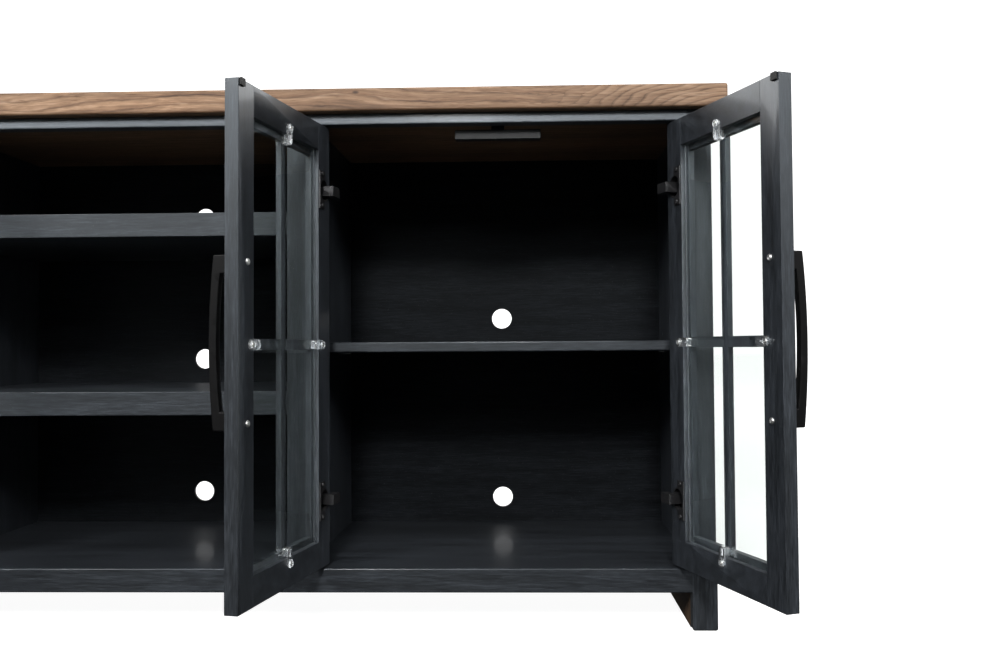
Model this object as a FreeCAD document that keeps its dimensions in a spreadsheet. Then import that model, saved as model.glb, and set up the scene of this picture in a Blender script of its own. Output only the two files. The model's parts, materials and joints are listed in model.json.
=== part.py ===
import FreeCAD, Part
import Sketcher
import os
import re

# Media cabinet: a wood top on a dark face-framed case with three equal bays.
# The two end bays have pairs of inset glass doors, the middle bay has two fixed shelves.
# +X is to the right seen from the front, +Y is towards the back and +Z is up, in millimetres.
# The origin is on the floor, centred between the farthest left, right, front and back points
# with the doors standing open.

doc = FreeCAD.newDocument("media_cabinet")

# ---------------------------------------------------------------- driving dimensions
DRIVING = {
    # case
    "bay_width": 570, "stile_width": 37, "stile_depth": 20, "side_thickness": 28,
    "divider_thickness": 19, "front_plane": -62, "inner_depth": 374, "side_depth": 382,
    "case_height": 778, "floor_gap": 56, "bottom_rail_height": 36, "top_rail_height": 17,
    "bottom_panel_thickness": 18, "back_thickness": 6, "foot_chamfer": 2.5, "rail_round": 2,
    # wood top
    "top_thickness": 35, "front_overhang": 16, "side_overhang": 22, "rear_overhang": 2,
    "top_round": 3.5,
    # shelves
    "fixed_shelf_thickness": 36, "upper_shelf_level": 629.5, "lower_shelf_level": 358,
    "loose_shelf_thickness": 16, "loose_shelf_level": 431, "loose_shelf_setback": 60,
    "loose_shelf_rear_gap": 4, "loose_shelf_side_gap": 2, "loose_shelf_round": 2,
    "pin_radius": 2.5, "pin_reach": 8, "pin_inset": 37, "pin_pitch": 32,
    # cable holes
    "cable_hole_radius": 18.75, "middle_hole_offset": 30, "end_hole_offset": 602,
    "middle_hole_low": 150, "end_hole_low": 138, "hole_rise": 45,
    # doors
    "door_gap": 2.5, "door_setback": 0.5, "door_bottom": 96, "door_top": 759,
    "door_thickness": 18.5, "frame_width": 50, "rabbet_width": 10, "lip_depth": 9,
    "muntin_width": 15, "muntin_setback": 1, "glass_thickness": 3, "glass_play": 1,
    "pivot_inset": 10.8, "pivot_depth": 7.5, "outer_open_angle": 110, "inner_open_angle": 101,
    # glass clips and small screws
    "clip_width": 14, "clip_overlap": 15, "clip_flange": 14, "clip_thickness": 2.5,
    "screw_offset": 8, "screw_head_radius": 3.6, "screw_head_height": 2.2,
    "screw_shank_radius": 1.6, "screw_length": 13,
    # handles
    "handle_inset": 24, "handle_level": 430, "handle_spacing": 203.2, "handle_length": 222,
    "handle_width": 10, "handle_height": 33, "handle_bow": 6, "handle_foot": 24,
    "handle_reach": 22, "handle_inner_bow": 5, "handle_screw_radius": 2,
    "handle_screw_head_radius": 4.5, "handle_screw_head_height": 2.5, "handle_screw_grip": 8,
    "handle_hole_radius": 2.3,
    # hinges
    "hinge_inset": 99, "cup_radius": 17.5, "cup_depth": 11.5, "cup_wall": 1.5,
    "cup_edge_distance": 21, "flange_height": 57, "flange_width": 17, "flange_thickness": 2,
    "flange_offset": 30, "flange_screw_spacing": 48, "arm_height": 15, "arm_near": -8,
    "arm_far": 17, "arm_lift": 2.5, "arm_rise": 11, "arm_width": 11, "arm_setback": 41,
    "arm_length": 46, "plate_thickness": 4, "plate_height": 50, "plate_setback": 45,
    "plate_length": 34,
    # door stops
    "stop_width": 132, "stop_height": 14, "stop_depth": 18, "stop_setback": 22.5,
    "stop_drop": 22, "stop_block_width": 20, "stop_block_setback": 25,
    "strike_width": 11, "strike_height": 10, "strike_thickness": 3, "strike_inset": 2.5,
    "strike_proud": 1,
}

sizes = doc.addObject("Spreadsheet::Sheet", "Sizes")
for row, (word, value) in enumerate(DRIVING.items(), start=1):
    sizes.set(f"A{row}", word)
    sizes.set(f"B{row}", str(value))
    sizes.setAlias(f"B{row}", word)
doc.recompute()


def cell(text):
    """Turn a formula in plain words into an expression on the sheet's cells."""
    return re.sub(r"\b([a-z]+(?:_[a-z]+)+)\b", r"Sizes.\1", str(text))


def bind(item, properties):
    for name, formula in properties.items():
        item.setExpression(name, cell(formula))
    return item


def place(item, position):
    """Bind a position; None leaves a coordinate at zero."""
    for axis, formula in zip("xyz", position):
        if formula is not None:
            item.setExpression(f"Placement.Base.{axis}", cell(formula))
    return item


def box(name, corner, size):
    item = doc.addObject("Part::Box", name)
    bind(item, dict(zip(("Length", "Width", "Height"), size)))
    return place(item, corner)


TURNED = {
    "x": FreeCAD.Rotation(FreeCAD.Vector(0, 1, 0), 90),
    "y": FreeCAD.Rotation(FreeCAD.Vector(1, 0, 0), -90),
    "z": FreeCAD.Rotation(),
}


def cylinder(name, start, radius, length, axis):
    item = doc.addObject("Part::Cylinder", name)
    item.Placement = FreeCAD.Placement(FreeCAD.Vector(), TURNED[axis])
    bind(item, {"Radius": radius, "Height": length})
    return place(item, start)


def join(name, pieces):
    item = doc.addObject("Part::MultiFuse", name)
    item.Shapes = pieces
    item.Refine = True
    return item


def cut(name, base, tool):
    item = doc.addObject("Part::Cut", name)
    item.Base = base
    item.Tool = tool
    return item


def common(name, base, tool):
    item = doc.addObject("Part::Common", name)
    item.Base = base
    item.Tool = tool
    return item


def group(name, pieces):
    """Keep several separate solids together as one named sub-part."""
    item = doc.addObject("Part::Compound", name)
    item.Links = pieces
    return item


nodes = {}


def node(name, item):
    """Name a finished sub-part; the label is also the name of its file."""
    item.Label = name
    nodes[name] = item
    return item


def plane(body, role):
    return next(item for item in body.Origin.OriginFeatures if item.Role == role)


def rectangle_sketch(body, name, role, width, height):
    """A rectangle centred on the sketch's origin, with both sides bound to the sheet."""
    sketch = body.newObject("Sketcher::SketchObject", name)
    sketch.AttachmentSupport = [(plane(body, role), "")]
    sketch.MapMode = "FlatFace"
    corners = [FreeCAD.Vector(x, y, 0) for x, y in ((-1, -1), (1, -1), (1, 1), (-1, 1))]
    for number in range(4):
        sketch.addGeometry(Part.LineSegment(corners[number], corners[(number + 1) % 4]))
    for number in range(4):
        sketch.addConstraint(Sketcher.Constraint("Coincident", number, 2, (number + 1) % 4, 1))
    for line in (0, 2):
        sketch.addConstraint(Sketcher.Constraint("Horizontal", line))
    for line in (1, 3):
        sketch.addConstraint(Sketcher.Constraint("Vertical", line))
    sketch.addConstraint(Sketcher.Constraint("Symmetric", 0, 1, 2, 1, -1, 1))
    across = sketch.addConstraint(Sketcher.Constraint("DistanceX", 0, 1, 0, 2, 2))
    upright = sketch.addConstraint(Sketcher.Constraint("DistanceY", 1, 1, 1, 2, 2))
    sketch.setExpression(f"Constraints[{across}]", cell(width))
    sketch.setExpression(f"Constraints[{upright}]", cell(height))
    return sketch


def panel(name, centre, width, depth, thickness, round_size, chosen):
    """A flat board with its chosen edges rounded; centre is the middle of its underside."""
    body = doc.addObject("PartDesign::Body", name)
    sketch = rectangle_sketch(body, f"{name}_outline", "XY_Plane", width, depth)
    pad = body.newObject("PartDesign::Pad", f"{name}_board")
    pad.Profile = sketch
    pad.setExpression("Length", cell(thickness))
    doc.recompute()
    edges = [
        f"Edge{number}"
        for number, edge in enumerate(pad.Shape.Edges, start=1)
        if chosen(edge)
    ]
    fillet = body.newObject("PartDesign::Fillet", f"{name}_round")
    fillet.Base = (pad, edges)
    fillet.setExpression("Radius", cell(round_size))
    body.Tip = fillet
    return place(body, centre)


def every_edge(edge):
    return True


def front_edge(edge):
    """True for the two long edges at a board's front face."""
    return edge.BoundBox.YLength < 1e-6 and edge.BoundBox.XLength > 1 and edge.BoundBox.YMin < 0


# ---------------------------------------------------------------- places shared by the pieces
BAY_PITCH = "(bay_width + stile_width)"
STILE_CENTRE = "(bay_width / 2 + stile_width / 2)"
HALF_OPENINGS = "(1.5 * bay_width + stile_width)"
HALF_CASE = "(1.5 * bay_width + 2 * stile_width)"
STEP_BACK = "(stile_width - side_thickness)"
FLOOR_LEVEL = "(floor_gap + bottom_rail_height)"
STILE_BACK = "(front_plane + stile_depth)"
BACK_FACE = "(front_plane + inner_depth)"
INNER_RUN = "(inner_depth - stile_depth)"
SIDES = {"left": -1, "right": 1}


def build_wood_top():
    depth = "(front_overhang + side_depth + rear_overhang)"
    middle = f"(front_plane - front_overhang + {depth} / 2)"
    width = f"(2 * ({HALF_CASE} + side_overhang))"
    centre = (None, middle, "case_height")
    node("wood_top", panel("Top", centre, width, depth, "top_thickness", "top_round", every_edge))


def build_face_frame():
    middle = "(front_plane + stile_depth / 2)"
    width = f"(2 * {HALF_OPENINGS})"
    heights = {"bottom": "floor_gap", "top": "case_height - top_rail_height"}
    for name, level in heights.items():
        centre = (None, middle, level)
        height = f"{name}_rail_height"
        rail = panel(f"{name}_rail_body", centre, width, "stile_depth", height, "rail_round", front_edge)
        node(f"{name}_rail", rail)
    outer = []
    inner = []
    for side, sign in SIDES.items():
        start = HALF_OPENINGS if sign > 0 else f"(-{HALF_CASE})"
        post = box(
            f"{side}_outer_post", (start, "front_plane", None),
            ("stile_width", "stile_depth", "case_height"),
        )
        doc.recompute()
        chamfer = doc.addObject("Part::Chamfer", f"{side}_outer_stile")
        chamfer.Base = post
        reach = float(sizes.get("foot_chamfer"))
        chamfer.Edges = [
            (number, reach, reach)
            for number, edge in enumerate(post.Shape.Edges, start=1)
            if edge.BoundBox.ZMax < 1e-6
        ]
        outer.append(chamfer)
        centre = f"({sign} * {STILE_CENTRE})"
        inner.append(box(
            f"{side}_divider_stile",
            (f"({centre} - stile_width / 2)", "front_plane", FLOOR_LEVEL),
            ("stile_width", "stile_depth", f"(case_height - top_rail_height - {FLOOR_LEVEL})"),
        ))
    node("outer_stiles", group("Outer_stiles", outer))
    node("divider_stiles", group("Divider_stiles", inner))


PIN_LEVEL = "(loose_shelf_level - loose_shelf_thickness - pin_radius)"
PIN_ROWS = (
    f"({STILE_BACK} + loose_shelf_setback - stile_depth + pin_inset)",
    f"({BACK_FACE} - loose_shelf_rear_gap - pin_inset)",
)


def pin_holes(name, face, sign):
    """Two columns of three shelf-pin holes, drilled from a face into the board behind it."""
    start = face if sign > 0 else f"({face} - pin_reach)"
    return [
        cylinder(
            f"{name}_pin_hole", (start, row, f"({PIN_LEVEL} + {step} * pin_pitch)"),
            "pin_radius", "pin_reach", "x",
        )
        for row in PIN_ROWS
        for step in (-1, 0, 1)
    ]


def build_uprights():
    for side, sign in SIDES.items():
        face = f"({sign} * ({HALF_OPENINGS} + {STEP_BACK}))"
        start = face if sign > 0 else f"({face} - side_thickness)"
        board = box(
            f"{side}_side_board", (start, STILE_BACK, None),
            ("side_thickness", "side_depth - stile_depth", "case_height"),
        )
        holes = group(f"{side}_side_holes", pin_holes(f"{side}_side", face, sign))
        node(f"{side}_side", cut(f"{side}_side_drilled", board, holes))
    for side, sign in SIDES.items():
        centre = f"({sign} * {STILE_CENTRE})"
        board = box(
            f"{side}_divider_board",
            (f"({centre} - divider_thickness / 2)", STILE_BACK, FLOOR_LEVEL),
            ("divider_thickness", INNER_RUN, f"(case_height - {FLOOR_LEVEL})"),
        )
        face = f"({centre} + {sign} * divider_thickness / 2)"
        holes = group(f"{side}_divider_holes", pin_holes(f"{side}_divider", face, -sign))
        node(f"{side}_divider", cut(f"{side}_divider_drilled", board, holes))


def build_floor_and_back():
    half = f"({HALF_OPENINGS} + {STEP_BACK})"
    node("bottom_panel", box(
        "Bottom_panel",
        (f"(-{half})", STILE_BACK, f"({FLOOR_LEVEL} - bottom_panel_thickness)"),
        (f"(2 * {half})", INNER_RUN, "bottom_panel_thickness"),
    ))
    board = box(
        "Back_board", (f"(-{half})", BACK_FACE, "floor_gap"),
        (f"(2 * {half})", "back_thickness", "case_height - floor_gap"),
    )
    places = [
        ("middle_hole_offset", "upper_shelf_level + hole_rise"),
        ("middle_hole_offset", "lower_shelf_level + hole_rise"),
        ("middle_hole_offset", "middle_hole_low"),
    ]
    for sign in SIDES.values():
        for level in ("loose_shelf_level + hole_rise", "end_hole_low"):
            places.append((f"({sign} * end_hole_offset)", level))
    holes = [
        cylinder("Cable_hole", (across, BACK_FACE, level), "cable_hole_radius", "back_thickness", "y")
        for across, level in places
    ]
    node("back_panel", cut("Back_panel", board, group("Cable_holes", holes)))


def build_base_cleats():
    """Bare wood strips under the ends of the bottom panel, flush with the outer stiles' inner edges."""
    cleats = []
    for side, sign in SIDES.items():
        start = HALF_OPENINGS if sign > 0 else f"(-{HALF_OPENINGS} - {STEP_BACK})"
        cleats.append(box(
            f"{side}_cleat", (start, STILE_BACK, None),
            (STEP_BACK, INNER_RUN, f"({FLOOR_LEVEL} - bottom_panel_thickness)"),
        ))
    node("base_cleats", group("Base_cleats", cleats))


def build_shelves():
    for name in ("upper", "lower"):
        level = f"({name}_shelf_level - fixed_shelf_thickness)"
        nose = box(
            f"{name}_shelf_nose", ("(-bay_width / 2)", "front_plane", level),
            ("bay_width", "stile_depth", "fixed_shelf_thickness"),
        )
        board = box(
            f"{name}_shelf_board", (f"(-bay_width / 2 - {STEP_BACK})", STILE_BACK, level),
            (f"(bay_width + 2 * {STEP_BACK})", INNER_RUN, "fixed_shelf_thickness"),
        )
        node(f"{name}_fixed_shelf", join(f"{name}_shelf", [nose, board]))
    pins = []
    width = f"(bay_width + 2 * {STEP_BACK} - 2 * loose_shelf_side_gap)"
    depth = "(inner_depth - loose_shelf_setback - loose_shelf_rear_gap)"
    middle = f"(front_plane + loose_shelf_setback + {depth} / 2)"
    for side, sign in SIDES.items():
        centre = f"({sign} * {BAY_PITCH})"
        level = "(loose_shelf_level - loose_shelf_thickness)"
        node(f"{side}_loose_shelf", panel(
            f"{side}_shelf_body", (centre, middle, level), width, depth,
            "loose_shelf_thickness", "loose_shelf_round", front_edge,
        ))
        for end in (-1, 1):
            face = f"({centre} + {end} * (bay_width / 2 + {STEP_BACK}))"
            for row in PIN_ROWS:
                pins.append(cylinder(
                    "Shelf_pin", (f"({face} - pin_reach)", row, PIN_LEVEL),
                    "pin_radius", "2 * pin_reach", "x",
                ))
    node("shelf_pins", group("Shelf_pins", pins))


def build_door_stops():
    for side, sign in SIDES.items():
        centre = f"({sign} * {BAY_PITCH})"
        bar = box(
            f"{side}_stop_bar",
            (f"({centre} - stop_width / 2)", "front_plane + stop_setback",
             "case_height - stop_drop - stop_height"),
            ("stop_width", "stop_depth", "stop_height"),
        )
        block = box(
            f"{side}_stop_block",
            (f"({centre} - stop_block_width / 2)", "front_plane + stop_block_setback",
             "case_height - stop_drop"),
            ("stop_block_width", "stop_depth - stop_block_setback + stop_setback", "stop_drop"),
        )
        node(f"{side}_door_stop", join(f"{side}_stop", [bar, block]))


# ---------------------------------------------------------------- doors
# A door is drawn about its hinge line: "along" runs from the hinge edge to the free edge,
# "depth" from the front face to the back, and hand is +1 where the hinges are on the right.
DOOR_WIDTH = "(bay_width / 2 - 1.5 * door_gap)"
FRAME_BACK = "(frame_width - rabbet_width)"
DOOR_HEIGHT = "(door_top - door_bottom)"
DOOR_MIDDLE = "((door_top + door_bottom) / 2)"
DOOR_HALF = f"({DOOR_WIDTH} / 2)"
BACK_DEPTH = "(door_thickness - lip_depth)"
HINGE_LEVELS = ("(door_bottom + hinge_inset)", "(door_top - hinge_inset)")


class Door:
    """One glass door: where it hangs, which way it opens and its own pieces."""

    def __init__(self, name, bay, hand, angle):
        self.name = name
        self.bay = bay
        self.hand = hand
        self.angle = angle

    def across(self, along, length):
        """The low X of something that starts at along and is length long."""
        if self.hand > 0:
            return f"(pivot_inset - {along} - {length})"
        return f"({along} - pivot_inset)"

    def box(self, name, start, size):
        along, depth, level = start
        corner = (self.across(along, size[0]), f"({depth} - pivot_depth)", level)
        return box(f"{self.name}_{name}", corner, size)

    def peg(self, name, start, radius, length):
        along, depth, level = start
        corner = (self.across(along, 0), f"({depth} - pivot_depth)", level)
        return cylinder(f"{self.name}_{name}", corner, radius, length, "y")

    def bar(self, name, start, radius, length):
        along, depth, level = start
        corner = (self.across(along, length), f"({depth} - pivot_depth)", level)
        return cylinder(f"{self.name}_{name}", corner, radius, length, "x")

    def group(self, name, pieces):
        return group(f"{self.name}_{name}", pieces)

    def hang(self, name, item):
        """Carry a finished group or boolean onto the hinge line and swing it open."""
        turn = FreeCAD.Rotation(FreeCAD.Vector(0, 0, self.hand), 90)
        item.Placement = FreeCAD.Placement(FreeCAD.Vector(), turn)
        item.setExpression("Placement.Rotation.Angle", cell(self.angle))
        edge = f"({self.bay} * {BAY_PITCH} + {self.hand} * bay_width / 2)"
        place(item, (
            f"({edge} - {self.hand} * (door_gap + pivot_inset))",
            "(front_plane + door_setback + pivot_depth)", None,
        ))
        node(f"{self.name}_{name}", item)

    def stile(self, name, edge, inward):
        """An upright with a glass rabbet on its inner side; edge is its outer edge."""
        lip_start = edge if inward > 0 else f"({edge} - frame_width)"
        back_start = edge if inward > 0 else f"({edge} - {FRAME_BACK})"
        lip = self.box(
            f"{name}_lip", (lip_start, "0", "door_bottom"),
            ("frame_width", "lip_depth", DOOR_HEIGHT),
        )
        back = self.box(
            f"{name}_back", (back_start, "lip_depth", "door_bottom"),
            (FRAME_BACK, BACK_DEPTH, DOOR_HEIGHT),
        )
        return join(f"{self.name}_{name}", [lip, back])

    def build_stiles(self):
        cups = [
            self.peg(
                "cup_recess", ("cup_edge_distance", "(door_thickness - cup_depth)", level),
                "cup_radius", "(cup_depth + 1)",
            )
            for level in HINGE_LEVELS
        ]
        hinged = cut(
            f"{self.name}_hinge_stile", self.stile("hinge_stile_blank", "0", 1),
            self.group("cup_recesses", cups),
        )
        holes = [
            self.peg("handle_hole", (along, "0", level), "handle_hole_radius", "door_thickness")
            for along, level in self.handle_screw_places()
        ]
        free = cut(
            f"{self.name}_free_stile", self.stile("free_stile_blank", DOOR_WIDTH, -1),
            self.group("handle_holes", holes),
        )
        self.hang("stiles", self.group("stile_pair", [hinged, free]))

    def build_rails(self):
        rails = []
        levels = {
            "lower": ("door_bottom", "door_bottom"),
            "upper": ("(door_top - frame_width)", f"(door_top - {FRAME_BACK})"),
        }
        for name, (lip_level, back_level) in levels.items():
            lip = self.box(
                f"{name}_rail_lip", ("frame_width", "0", lip_level),
                (f"({DOOR_WIDTH} - 2 * frame_width)", "lip_depth", "frame_width"),
            )
            back = self.box(
                f"{name}_rail_back", (FRAME_BACK, "lip_depth", back_level),
                (f"({DOOR_WIDTH} - 2 * {FRAME_BACK})", BACK_DEPTH, FRAME_BACK),
            )
            rails.append(join(f"{self.name}_{name}_rail", [lip, back]))
        self.hang("rails", self.group("rail_pair", rails))

    def build_muntins(self):
        depth = "(lip_depth - muntin_setback)"
        half = "(muntin_width / 2)"
        upright = self.box(
            "muntin_upright",
            (f"({DOOR_HALF} - {half})", "muntin_setback", "(door_bottom + frame_width)"),
            ("muntin_width", depth, f"({DOOR_HEIGHT} - 2 * frame_width)"),
        )
        length = f"({DOOR_HALF} - {half} - frame_width)"
        arms = [
            self.box(
                f"muntin_{name}", (start, "muntin_setback", f"({DOOR_MIDDLE} - {half})"),
                (length, depth, "muntin_width"),
            )
            for name, start in (("near", "frame_width"), ("far", f"({DOOR_HALF} + {half})"))
        ]
        self.hang("muntins", self.group("muntin_bars", [upright, *arms]))

    def build_glass(self):
        edge = f"({FRAME_BACK} + glass_play)"
        pane = self.box(
            "pane", (edge, "lip_depth", f"(door_bottom + {edge})"),
            (f"({DOOR_WIDTH} - 2 * {edge})", "glass_thickness", f"({DOOR_HEIGHT} - 2 * {edge})"),
        )
        self.hang("glass", self.group("glazing", [pane]))

    def clip_places(self):
        """The rabbet edge that each clip straddles, the way out of the glass, and its middle."""
        return (
            ("level", f"(door_top - {FRAME_BACK})", 1, DOOR_HALF),
            ("level", f"(door_bottom + {FRAME_BACK})", -1, DOOR_HALF),
            ("along", f"({DOOR_WIDTH} - {FRAME_BACK})", 1, DOOR_MIDDLE),
            ("along", FRAME_BACK, -1, DOOR_MIDDLE),
        )

    def clip_screw_places(self):
        places = []
        for way, edge, out, middle in self.clip_places():
            spot = f"({edge} + {out} * screw_offset)"
            places.append((spot, middle) if way == "along" else (middle, spot))
        return places

    def flange_screw_places(self):
        half = "(flange_screw_spacing / 2)"
        return [
            ("flange_offset", f"({level} + {step} * {half})")
            for level in HINGE_LEVELS
            for step in (-1, 1)
        ]

    def handle_screw_places(self):
        along = f"({DOOR_WIDTH} - handle_inset)"
        return [
            (along, f"(handle_level + {step} * handle_spacing / 2)") for step in (-1, 1)
        ]

    def build_clips(self):
        """A flange on the frame's back face and a foot that presses on the glass."""
        clips = []
        glass_back = "(lip_depth + glass_thickness)"
        for way, edge, out, middle in self.clip_places():
            side = f"({middle} - clip_width / 2)"
            low = f"({edge} - clip_overlap)" if out > 0 else f"({edge} - clip_flange)"
            foot_low = low if out > 0 else f"({edge} + glass_play)"
            parts = (
                (low, "(clip_overlap + clip_flange)", "door_thickness", "clip_thickness"),
                (foot_low, "(clip_overlap - glass_play)", glass_back,
                 f"(door_thickness - {glass_back})"),
            )
            solids = []
            for start, length, depth, thickness in parts:
                if way == "along":
                    corner = (start, depth, side)
                    size = (length, thickness, "clip_width")
                else:
                    corner = (side, depth, start)
                    size = ("clip_width", thickness, length)
                solids.append(self.box("clip_part", corner, size))
            clips.append(join(f"{self.name}_clip", solids))
        holes = [
            self.peg("clip_hole", (along, "door_thickness", level), "screw_shank_radius", "clip_thickness")
            for along, level in self.clip_screw_places()
        ]
        drilled = [
            cut(f"{self.name}_clip_drilled", clip, hole) for clip, hole in zip(clips, holes)
        ]
        self.hang("glass_clips", self.group("clip_set", drilled))

    def screw(self, spot, seat, head, shank):
        """A round-headed screw driven forwards from seat, as (radius, length) pairs."""
        along, level = spot
        return join(f"{self.name}_screw", [
            self.peg("screw_head", (along, seat, level), *head),
            self.peg("screw_shank", (along, f"({seat} - {shank[1]})", level), *shank),
        ])

    def build_small_screws(self):
        head = ("screw_head_radius", "screw_head_height")
        shank = ("screw_shank_radius", "screw_length")
        seats = {
            "(door_thickness + clip_thickness)": self.clip_screw_places(),
            "(door_thickness + flange_thickness)": self.flange_screw_places(),
        }
        screws = [
            self.screw(spot, seat, head, shank)
            for seat, spots in seats.items()
            for spot in spots
        ]
        self.hang("small_screws", self.group("small_screw_set", screws))

    def build_handle(self):
        """An arched bar between two feet, cut from one blank by two large arcs."""
        start = f"({DOOR_WIDTH} - handle_inset - handle_width / 2)"
        chord = "(handle_length / 2 - handle_foot)"
        outer = "(((handle_length / 2) ^ 2 + handle_bow ^ 2) / (2 * handle_bow))"
        inner = f"(({chord} ^ 2 + handle_inner_bow ^ 2) / (2 * handle_inner_bow))"
        blank = common(
            f"{self.name}_handle_blank",
            self.box(
                "handle_block", (start, "(-handle_height)", "(handle_level - handle_length / 2)"),
                ("handle_width", "handle_height", "handle_length"),
            ),
            self.bar("handle_arch", (start, f"({outer} - handle_height)", "handle_level"),
                     outer, "handle_width"),
        )
        window = common(
            f"{self.name}_handle_window",
            self.box(
                "handle_gap", (start, "(-handle_reach)", f"(handle_level - {chord})"),
                ("handle_width", "(handle_reach + 1)", f"(2 * {chord})"),
            ),
            self.bar("handle_gap_arch", (start, f"({inner} - handle_reach)", "handle_level"),
                     inner, "handle_width"),
        )
        self.hang("handle", cut(f"{self.name}_handle_bar", blank, window))
        head = ("handle_screw_head_radius", "handle_screw_head_height")
        shank = ("handle_screw_radius", "(door_thickness + handle_screw_grip)")
        screws = [
            self.screw(spot, "door_thickness", head, shank) for spot in self.handle_screw_places()
        ]
        self.hang("handle_screws", self.group("handle_screw_pair", screws))

    def build_hinge_arms(self):
        """The door's half of each hinge: a cup let into the stile, its flange and the arm's end."""
        arms = []
        cup_floor = "(door_thickness - cup_depth)"
        for level in HINGE_LEVELS:
            hollow = self.peg(
                "cup_hollow", ("cup_edge_distance", f"({cup_floor} + cup_wall)", level),
                "(cup_radius - cup_wall)", "(cup_depth + flange_thickness)",
            )
            cup = self.peg("cup", ("cup_edge_distance", cup_floor, level), "cup_radius", "cup_depth")
            flange = self.box(
                "flange",
                ("(flange_offset - flange_width / 2)", "door_thickness",
                 f"({level} - flange_height / 2)"),
                ("flange_width", "flange_thickness", "flange_height"),
            )
            shell = cut(f"{self.name}_cup_shell", join(f"{self.name}_cup_blank", [cup, flange]), hollow)
            holes = [
                self.peg(
                    "flange_hole",
                    ("flange_offset", "door_thickness",
                     f"({level} + {step} * flange_screw_spacing / 2)"),
                    "screw_shank_radius", "flange_thickness",
                )
                for step in (-1, 1)
            ]
            drilled = cut(f"{self.name}_cup_drilled", shell, self.group("flange_holes", holes))
            bottom = f"({level} - arm_height / 2)"
            lifted = "(door_thickness + arm_lift)"
            arm = self.box(
                "arm_end", ("arm_near", lifted, bottom),
                ("(arm_far - arm_near)", "arm_rise", "arm_height"),
            )
            link = self.box(
                "arm_link", ("(cup_edge_distance - cup_radius + cup_wall)", cup_floor, bottom),
                ("(arm_far - cup_edge_distance + cup_radius - cup_wall)",
                 "(cup_depth + arm_lift + arm_rise)", "arm_height"),
            )
            inside = common(f"{self.name}_link_trimmed", link, self.peg(
                "link_round", ("cup_edge_distance", cup_floor, level),
                "cup_radius", "(cup_depth + arm_lift + arm_rise)",
            ))
            arms.append(join(f"{self.name}_hinge_arm", [drilled, arm, inside]))
        self.hang("hinge_arms", self.group("hinge_arm_pair", arms))

    def build_strike(self):
        start = (
            f"({DOOR_WIDTH} - strike_inset - strike_width)", "door_thickness",
            "(door_top + strike_proud - strike_height)",
        )
        pad = self.box("strike_pad", start, ("strike_width", "strike_thickness", "strike_height"))
        self.hang("strike", self.group("strike_plate", [pad]))

    def hinge_plates(self):
        """The case's half of each hinge: a plate on the upright and the arm fixed to it."""
        edge = f"({self.bay} * {BAY_PITCH} + {self.hand} * bay_width / 2)"
        face = f"({edge} + {self.hand} * {STEP_BACK})"
        reach = "(plate_thickness + arm_width)"
        plates = []
        for level in HINGE_LEVELS:
            plate_start = f"({face} - plate_thickness)" if self.hand > 0 else face
            arm_start = f"({face} - {reach})" if self.hand > 0 else face
            plate = box(
                f"{self.name}_plate",
                (plate_start, "front_plane + plate_setback", f"({level} - plate_height / 2)"),
                ("plate_thickness", "plate_length", "plate_height"),
            )
            arm = box(
                f"{self.name}_case_arm",
                (arm_start, "front_plane + arm_setback", f"({level} - arm_height / 2)"),
                (reach, "arm_length", "arm_height"),
            )
            plates.append(join(f"{self.name}_hinge_plate", [plate, arm]))
        return plates

    def build(self):
        self.build_stiles()
        self.build_rails()
        self.build_muntins()
        self.build_glass()
        self.build_clips()
        self.build_small_screws()
        self.build_handle()
        self.build_hinge_arms()
        self.build_strike()


def build_doors():
    plates = []
    for side, sign in SIDES.items():
        for place_name, hand in SIDES.items():
            angle = "outer_open_angle" if hand == sign else "inner_open_angle"
            door = Door(f"{side}_bay_{place_name}_door", sign, hand, angle)
            door.build()
            plates.extend(door.hinge_plates())
    node("hinge_plates", group("Hinge_plates", plates))


def check_document():
    doc.recompute()
    failed = [
        item.Name for item in doc.Objects if "Invalid" in item.State or "Error" in item.State
    ]
    if failed:
        raise RuntimeError(f"these objects failed: {failed}")
    for name, item in nodes.items():
        shape = item.Shape
        if shape.isNull() or not shape.isValid() or not shape.Solids:
            raise RuntimeError(f"{name} has no valid solid")


def write_parts():
    os.makedirs("parts", exist_ok=True)
    for name, item in nodes.items():
        item.Shape.exportStep(f"parts/{name}.step")
        print(f"{name}: {len(item.Shape.Solids)} solids, {item.Shape.Volume / 1000:.1f} cm3")


build_wood_top()
build_face_frame()
build_uprights()
build_floor_and_back()
build_base_cleats()
build_shelves()
build_door_stops()
build_doors()
check_document()
write_parts()
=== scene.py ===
import json
import math

import bmesh
import bpy
from mathutils import Matrix, Vector


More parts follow.
